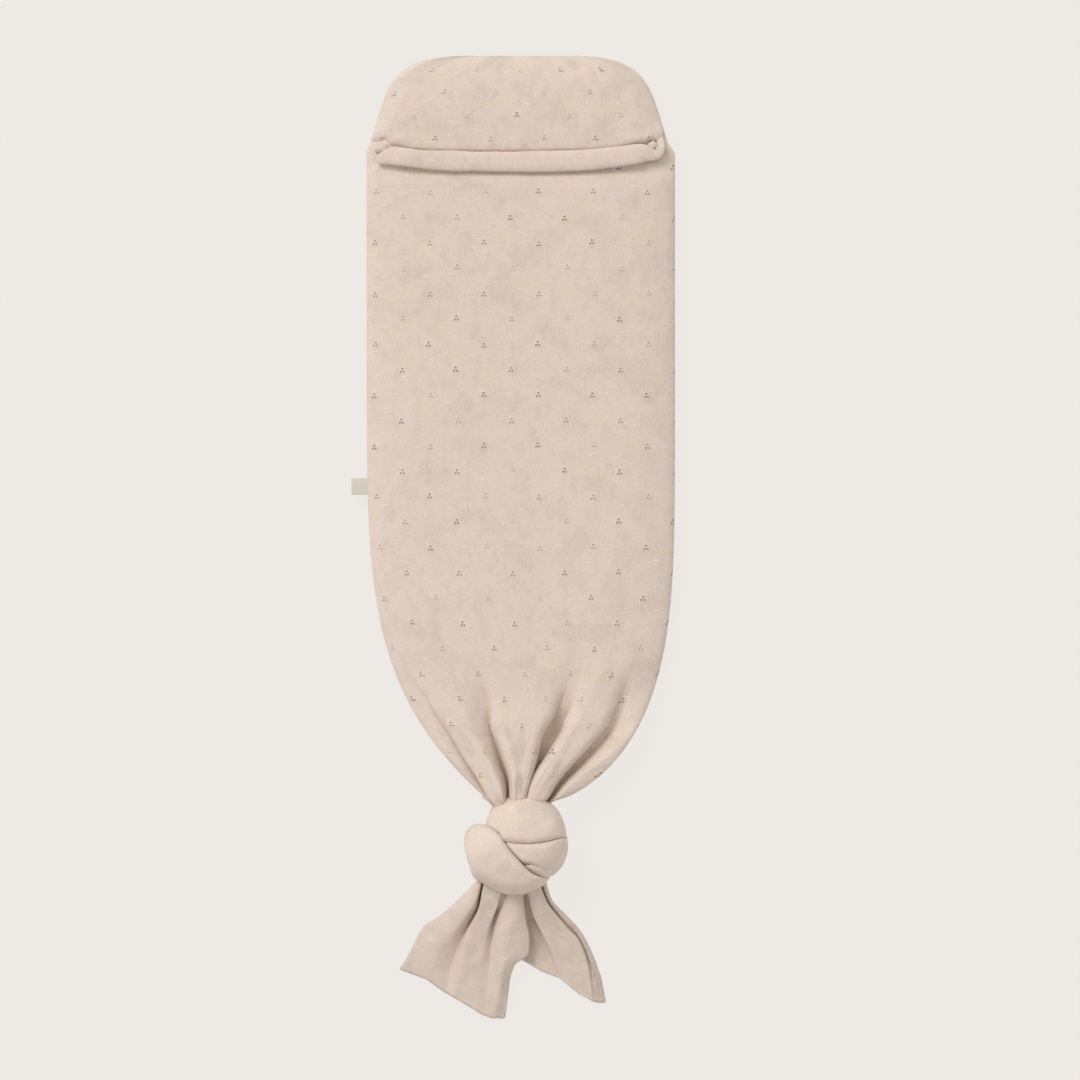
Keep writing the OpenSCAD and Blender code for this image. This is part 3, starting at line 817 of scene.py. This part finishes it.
def tail():
    flaps = [
        flap("tail_left_top", LEFT_FLAP, "tail_left_top_layer", 51),
        flap("tail_left_under", LEFT_FLAP, "tail_left_under_layer", 51, 2.4, 0.85, (-0.8, -0.4)),
        flap("tail_right_top", RIGHT_FLAP, "tail_right_top_layer", 55),
        flap("tail_right_under", RIGHT_FLAP, "tail_right_under_layer", 55, 2.4, 0.85, (1.4, 0.2)),
    ]
    hems = [hem_roll("tail_left_edge", LEFT_FLAP, "tail_left_hem", 51),
            hem_roll("tail_right_edge", RIGHT_FLAP, "tail_right_hem", 55)]
    places = [(-5, -262, 15, 19, 9), (-6, -276, 12, 24, 8.5), (-7, -289, 8, 26, 5.5),
              (-7, -298, 4.5, 24, 2.5)]
    root = bunch("tail_root_folds", "tail_root", places, 11, 65)
    return flaps, hems + [root]


# ---- Label ----


def side_label():
    """A folded ribbon whose loop stands out of the side seam."""
    low, high = corners("side_label")
    half = (high[2] - low[2]) / 2
    middle = (high[2] + low[2]) / 2
    turn = np.linspace(math.pi / 2, 3 * math.pi / 2, 12)
    run = np.linspace(high[0] + 3, low[0] + half, 14)
    xs = np.r_[run, low[0] + half + half * np.cos(turn[1:-1]), run[::-1]]
    zs = np.r_[middle + half + 0 * run, middle + half * np.sin(turn[1:-1]), middle - half + 0 * run]
    length = np.r_[0, np.cumsum(np.hypot(np.diff(xs), np.diff(zs)))]
    ys = np.linspace(low[1], high[1], 14)
    out = clip((high[0] - xs) / (high[0] - low[0]))
    grid = stacked(xs, ys[:, None], zs + 0.5 * out * np.sin((ys[:, None] - low[1]) / 4.0) * 0.8)
    uv = stacked(length[None, :], ys[:, None] - low[1])
    piece = sheet("side_label_ribbon", grid[:, ::-1], uv[:, ::-1], 0.45)
    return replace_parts(piece, "side_label")


# ---- Materials ----


class Graph:
    """A short way to write the nodes of one material."""

    def __init__(self, name):
        self.material = bpy.data.materials.new(name)
        self.material.use_nodes = True
        self.tree = self.material.node_tree
        self.tree.nodes.clear()

    def node(self, kind, values=(), links=(), **settings):
        made = self.tree.nodes.new(kind)
        for key, value in settings.items():
            setattr(made, key, value)
        for key, value in dict(values).items():
            made.inputs[key].default_value = value
        for key, socket in dict(links).items():
            self.tree.links.new(socket, made.inputs[key])
        return made

    def math(self, operation, a, b=None, c=None):
        made = self.node("ShaderNodeMath", operation=operation)
        for i, value in enumerate((a, b, c)):
            if isinstance(value, (int, float)):
                made.inputs[i].default_value = value
            elif value is not None:
                self.tree.links.new(value, made.inputs[i])
        return made.outputs[0]

    def plus(self, a, b):
        return self.math("ADD", a, b)

    def minus(self, a, b):
        return self.math("SUBTRACT", a, b)

    def times(self, a, b):
        return self.math("MULTIPLY", a, b)

    def ramp(self, value, low, high, to_low=0.0, to_high=1.0):
        """value mapped smoothly from low..high to to_low..to_high."""
        made = self.node("ShaderNodeMapRange", values={1: low, 2: high, 3: to_low, 4: to_high},
                         links={0: value}, interpolation_type="SMOOTHSTEP")
        return made.outputs[0]

    def colour(self, factor, a, b, blend="MIX"):
        made = self.node("ShaderNodeMix", data_type="RGBA", blend_type=blend)
        for i, value in ((0, factor), (6, a), (7, b)):
            if isinstance(value, bpy.types.NodeSocket):
                self.tree.links.new(value, made.inputs[i])
            else:
                made.inputs[i].default_value = value
        return made.outputs[2]

    def noise(self, vector, scale, detail=2.0, roughness=0.5):
        made = self.node("ShaderNodeTexNoise", links={"Vector": vector},
                         values={"Scale": scale, "Detail": detail, "Roughness": roughness})
        return made.outputs["Fac"]

    def stretched(self, vector, x, y, z=1.0):
        made = self.node("ShaderNodeMapping", values={"Scale": (x, y, z)}, links={"Vector": vector})
        return made.outputs[0]


def eyelets(g, x, y):
    """Small groups of three eyelets in staggered rows: (holes, the raised stitches round them)."""
    across, up = 42.3, 19.85
    row = g.math("DIVIDE", g.minus(y, 251.85), up)
    row_number = g.math("FLOOR", g.plus(row, 0.5))
    odd = g.math("ABSOLUTE", g.math("MODULO", row_number, 2.0))
    column = g.math("DIVIDE", g.minus(x, -7.0), across)
    column = g.plus(column, g.times(odd, 0.5))
    column_number = g.math("FLOOR", g.plus(column, 0.5))
    place = g.node("ShaderNodeCombineXYZ", links={0: column_number, 1: row_number}).outputs[0]
    random = g.node("ShaderNodeTexWhiteNoise", links={"Vector": place}, noise_dimensions="2D")
    shift = g.node("ShaderNodeSeparateXYZ", links={0: random.outputs["Color"]})
    dx = g.times(g.minus(column, column_number), across)
    dy = g.times(g.minus(row, row_number), up)
    dx = g.plus(dx, g.times(g.minus(shift.outputs[0], 0.5), 3.0))
    dy = g.plus(dy, g.times(g.minus(shift.outputs[1], 0.5), 2.0))
    nearest = None
    for hx, hy in ((0.0, 1.6), (-1.15, -0.9), (1.15, -0.9)):
        away = g.math("SQRT", g.plus(g.math("POWER", g.minus(dx, hx), 2.0),
                                     g.math("POWER", g.minus(dy, hy), 2.0)))
        nearest = away if nearest is None else g.math("MINIMUM", nearest, away)
    strength = g.ramp(random.outputs["Value"], 0.0, 1.0, 0.35, 1.0)
    holes = g.times(g.ramp(nearest, 0.3, 1.25, 1.0, 0.0), strength)
    around = g.times(g.ramp(nearest, 1.1, 2.6, 1.0, 0.0), strength)
    return holes, g.minus(around, holes)


def knit(name, light, dark, motif=True, wale=1.5):
    """Heathered jersey: fine wales, mottled yarn, pale slubs and, on the outer fabric, eyelets with painted
    shade in their holes and a painted highlight on the raised stitches round them.
    """
    g = Graph(name)
    place = g.node("ShaderNodeUVMap", uv_map="fabric").outputs[0]
    parts = g.node("ShaderNodeSeparateXYZ", links={0: place})
    x, y = parts.outputs[0], parts.outputs[1]
    mottle = g.noise(g.stretched(place, 1.0, 0.6), 0.13, 3.0, 0.6)
    heather = g.noise(g.stretched(place, 1.6, 0.45), 0.75, 2.0, 0.7)
    fleck = g.noise(g.stretched(place, 0.5, 1.3), 0.7, 2.0, 0.7)
    slub = g.ramp(g.noise(g.stretched(place, 1.0, 0.17), 0.75, 1.0), 0.58, 0.72)
    slub = g.times(slub, g.ramp(g.noise(place, 0.06, 1.0), 0.5, 0.66))
    cross_slub = g.ramp(g.noise(g.stretched(place, 0.18, 1.1), 0.65, 1.0), 0.58, 0.72)
    cross_patch = g.ramp(g.noise(g.stretched(place, 0.9, 1.2), 0.055, 1.0), 0.46, 0.62)
    cross_slub = g.times(cross_slub, cross_patch)
    patch = g.ramp(g.noise(place, 0.035, 1.0), 0.48, 0.64, 0.08, 1.0)
    drift = g.times(g.noise(place, 0.12, 1.0), 2.2)
    wave = g.math("SINE", g.times(g.plus(x, drift), 2 * math.pi / wale))
    course = g.math("SINE", g.times(y, 2 * math.pi / 1.1))

    def shade(amount, base=light):
        return tuple(min(1, amount * v) for v in base[:3]) + (1,)

    colour = g.colour(g.ramp(mottle, 0.34, 0.66), dark, light)
    pink = (light[0] * 1.0, light[1] * 0.955, light[2] * 0.975, 1)
    straw = (light[0] * 0.97, light[1] * 0.965, light[2] * 0.87, 1)
    grey = (light[0] * 0.93, light[1] * 0.95, light[2] * 0.97, 1)
    pink_at = g.noise(place, 0.075, 2.0)
    colour = g.colour(g.ramp(pink_at, 0.47, 0.62, 0.0, 0.75), colour, pink)
    straw_at = g.noise(g.stretched(place, 1.0, 1.3), 0.06, 2.0)
    colour = g.colour(g.ramp(straw_at, 0.5, 0.64, 0.0, 0.75), colour, straw)
    grey_at = g.noise(g.stretched(place, 1.2, 0.7), 0.11, 2.0)
    colour = g.colour(g.ramp(grey_at, 0.55, 0.68, 0.0, 0.5), colour, grey)
    colour = g.colour(g.ramp(heather, 0.35, 0.65, 0.3, 0.0), colour, shade(0.80, dark))
    colour = g.colour(g.ramp(fleck, 0.5, 0.7, 0.0, 0.28), colour, shade(1.10))
    colour = g.colour(g.times(g.math("MAXIMUM", slub, cross_slub), 0.5), colour, shade(1.16))
    stripe = g.times(g.ramp(wave, -1.0, 0.3, 0.22, 0.0), patch)
    colour = g.colour(stripe, colour, shade(0.70, dark))
    height = g.times(g.times(wave, 0.11), patch)
    height = g.plus(height, g.times(course, 0.02))
    height = g.plus(height, g.times(heather, 0.25))
    height = g.plus(height, g.times(g.math("MAXIMUM", slub, cross_slub), 0.16))
    height = g.plus(height, g.times(g.noise(place, 2.4, 2.0), 0.12))
    if motif:
        holes, around = eyelets(g, x, y)
        # Painted shade: the eyelets' holes are coloured near black, as if shadowed inside. Painted highlight:
        # the raised stitches round them are coloured lighter. Both masks also shape the bump.
        colour = g.colour(g.times(holes, 0.72), colour, (0.20, 0.155, 0.12, 1))
        colour = g.colour(g.times(around, 0.3), colour, shade(1.1))
        height = g.plus(height, g.times(around, 0.3))
        height = g.minus(height, g.times(holes, 0.7))
    bump = g.node("ShaderNodeBump", values={"Strength": 0.75, "Distance": 0.001}, links={"Height": height})
    shader = g.node("ShaderNodeBsdfPrincipled",
                    values={"Roughness": 0.95, "Sheen Weight": 0.15, "Sheen Roughness": 0.5,
                            "Specular IOR Level": 0.15},
                    links={"Base Color": colour, "Normal": bump.outputs[0]})
    g.node("ShaderNodeOutputMaterial", links={"Surface": shader.outputs[0]})
    return g.material


def ribbon(name):
    """Woven label ribbon, plain."""
    g = Graph(name)
    place = g.node("ShaderNodeUVMap", uv_map="fabric").outputs[0]
    parts = g.node("ShaderNodeSeparateXYZ", links={0: place})
    warp = g.math("SINE", g.times(parts.outputs[0], 2 * math.pi / 0.5))
    weft = g.math("SINE", g.times(parts.outputs[1], 2 * math.pi / 0.4))
    weave = g.times(warp, weft)
    fleck = g.noise(place, 1.5, 2.0)
    colour = g.colour(g.ramp(fleck, 0.3, 0.7), (0.66, 0.62, 0.53, 1), (0.76, 0.72, 0.63, 1))
    colour = g.colour(g.ramp(weave, -1.0, 1.0, 0.12, 0.0), colour, (0.42, 0.38, 0.30, 1))
    height = g.times(weave, 0.05)
    bump = g.node("ShaderNodeBump", values={"Strength": 0.7, "Distance": 0.001}, links={"Height": height})
    shader = g.node("ShaderNodeBsdfPrincipled", values={"Roughness": 0.75, "Sheen Weight": 0.1},
                    links={"Base Color": colour, "Normal": bump.outputs[0]})
    g.node("ShaderNodeOutputMaterial", links={"Surface": shader.outputs[0]})
    return g.material


# ---- Light, floor and camera ----


def studio():
    scene = bpy.context.scene
    scene.view_settings.view_transform = "Standard"
    world = bpy.data.worlds.new("studio")
    world.use_nodes = True
    world.node_tree.nodes["Background"].inputs[0].default_value = (1.0, 0.985, 0.965, 1)
    world.node_tree.nodes["Background"].inputs[1].default_value = 0.66
    scene.world = world
    key = bpy.data.lights.new("key", "SUN")
    key.energy = 1.45
    key.angle = math.radians(24)
    key.color = (1.0, 0.985, 0.96)
    lamp = bpy.data.objects.new("key", key)
    lamp.rotation_euler = (math.radians(-36), math.radians(-32), 0)
    scene.collection.objects.link(lamp)
    floor = bpy.data.objects.new("floor", bpy.data.meshes.new("floor"))
    half = 6.0
    around = [(-half, -half, 0), (half, -half, 0), (half, half, 0), (-half, half, 0)]
    floor.data.from_pydata(around, [], [(0, 1, 2, 3)])
    scene.collection.objects.link(floor)
    g = Graph("floor")
    pale = (0.847, 0.823, 0.783, 1)
    glow = g.node("ShaderNodeEmission", values={"Color": pale, "Strength": 1.0})
    cloth = g.node("ShaderNodeBsdfDiffuse", values={"Color": pale})
    both = g.node("ShaderNodeMixShader", values={0: 0.05}, links={1: glow.outputs[0], 2: cloth.outputs[0]})
    g.node("ShaderNodeOutputMaterial", links={"Surface": both.outputs[0]})
    floor.data.materials.append(g.material)


def camera():
    distance = 4000.0
    plane_z = 15.0
    view_w = 846.7
    centre_x = 14.9
    data = bpy.data.cameras.new("camera")
    data.sensor_width = 36
    data.lens = 36 * distance / view_w
    data.clip_end = 20
    made = bpy.data.objects.new("camera", data)
    made.location = (centre_x * MM, 0, (distance + plane_z) * MM)
    bpy.context.scene.collection.objects.link(made)
    bpy.context.scene.camera = made


# ---- Putting it together ----


def dress(pieces, material):
    for piece in pieces:
        piece.data.materials.clear()
        piece.data.materials.append(material)


def cloth(piece, width, length, held, rests_on=(), share=None):
    """Takes a sheet and its flat size in millimetres but does nothing with them; it only reads rests_on.
    share is not used.
    """
    list(rests_on)


camera()
studio()

LIGHT_YARN = (0.786, 0.676, 0.594, 1)
DARK_YARN = (0.718, 0.606, 0.522, 1)
outer = knit("pointelle_knit", LIGHT_YARN, DARK_YARN)
outer_plain = knit("pointelle_knit_plain_part", LIGHT_YARN, DARK_YARN, motif=False)
# A darker copy of the outer knit: painted shade for the knot's core and the tail, which lie lower in shadow.
outer_painted_shade = knit("pointelle_knit_painted_shade", (0.735, 0.628, 0.548, 1), (0.668, 0.561, 0.482, 1), motif=False)
plain = knit("lining_jersey", (0.83, 0.75, 0.66, 1), (0.78, 0.69, 0.60, 1), motif=False, wale=1.2)
thread = knit("overlock_thread", (0.70, 0.60, 0.51, 1), (0.62, 0.52, 0.43, 1), motif=False, wale=0.8)
tape = ribbon("label_ribbon")

front = front_cover()
back = back_cover()
hood_rear = hood_back()
hood_top = hood_front()
hood_sides = [hood_side("hood_left_side", -1), hood_side("hood_right_side", 1)]
hem = hood_hem()
tacks = [pillow("left_corner_puff", (-109.8, 307.6, 17.4), (6.0, 4.2, 4.2), -0.18, 71, "left_corner_tack"),
         pillow("right_corner_puff", (103.1, 308.7, 20.2), (3.9, 3.5, 3.8), 0.5, 73, "right_corner_tack")]
edge = neckline()
inside_front = front_lining()
inside_back = back_lining()
inside_hood_front = hood_lining("hood_front_lining_sheet", "hood_front_lining", True)
inside_hood_back = hood_lining("hood_back_lining_sheet", "hood_back_lining", False)
wraps = knot()
core = bunch("knot_core_rope", "knot_core", [(0, -203, 22, 17, 9), (0, -225, 22, 19, 9.5),
                                             (-2, -250, 21, 19, 9.5), (-4, -271, 18, 18, 9)], 9, 64)
flaps, flap_ends = tail()
label = side_label()

dress((front, back, hood_rear, hood_top, *hood_sides), outer)
dress((hem, *tacks, edge, *wraps), outer_plain)
# The knot's core and the tail take the darker copy of the knit: painted shade.
dress((core, *flaps, *flap_ends), outer_painted_shade)
dress((inside_front, inside_back, inside_hood_front, inside_hood_back), plain)
dress((label,), tape)
for node in ("left_side_seam", "right_side_seam", "crown_seam"):
    bpy.data.objects[node].data.materials.clear()
    bpy.data.objects[node].data.materials.append(thread)

for piece in (hood_top, hem, *tacks, inside_hood_front, inside_hood_back):
    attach(piece, "hood")
for piece in (edge, inside_front, inside_back):
    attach(piece, "bag")
for piece in (*wraps, core):
    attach(piece, "foot")
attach(label, "label")

for piece in (front, back):
    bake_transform(piece)
for piece in (hood_rear, *hood_sides):
    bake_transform(piece)
for piece in (*flaps, *flap_ends):
    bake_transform(piece)

cloth(front, 250, 530, "gathered", ["back_cover"])
cloth(back, 246, 370, "gathered")
cloth(hood_rear, 246, 236, "laid")
cloth(hood_top, 244, 84, "laid", share=0.95)
for piece in hood_sides:
    cloth(piece, 18, 24, "laid", share=0.9)
cloth(inside_front, 244, 480, "laid", ["back_lining_sheet"])
cloth(inside_back, 242, 460, "laid", ["back_cover"])
cloth(inside_hood_front, 236, 80, "laid", share=0.94)
cloth(inside_hood_back, 236, 94, "laid", share=0.94)
for piece in flaps[:2]:
    cloth(piece, 130, 110, "gathered", share=0.8)
for piece in flaps[2:]:
    cloth(piece, 100, 105, "gathered", share=0.7)
cloth(label, 12.5, 30, "folded")
for piece in flap_ends:
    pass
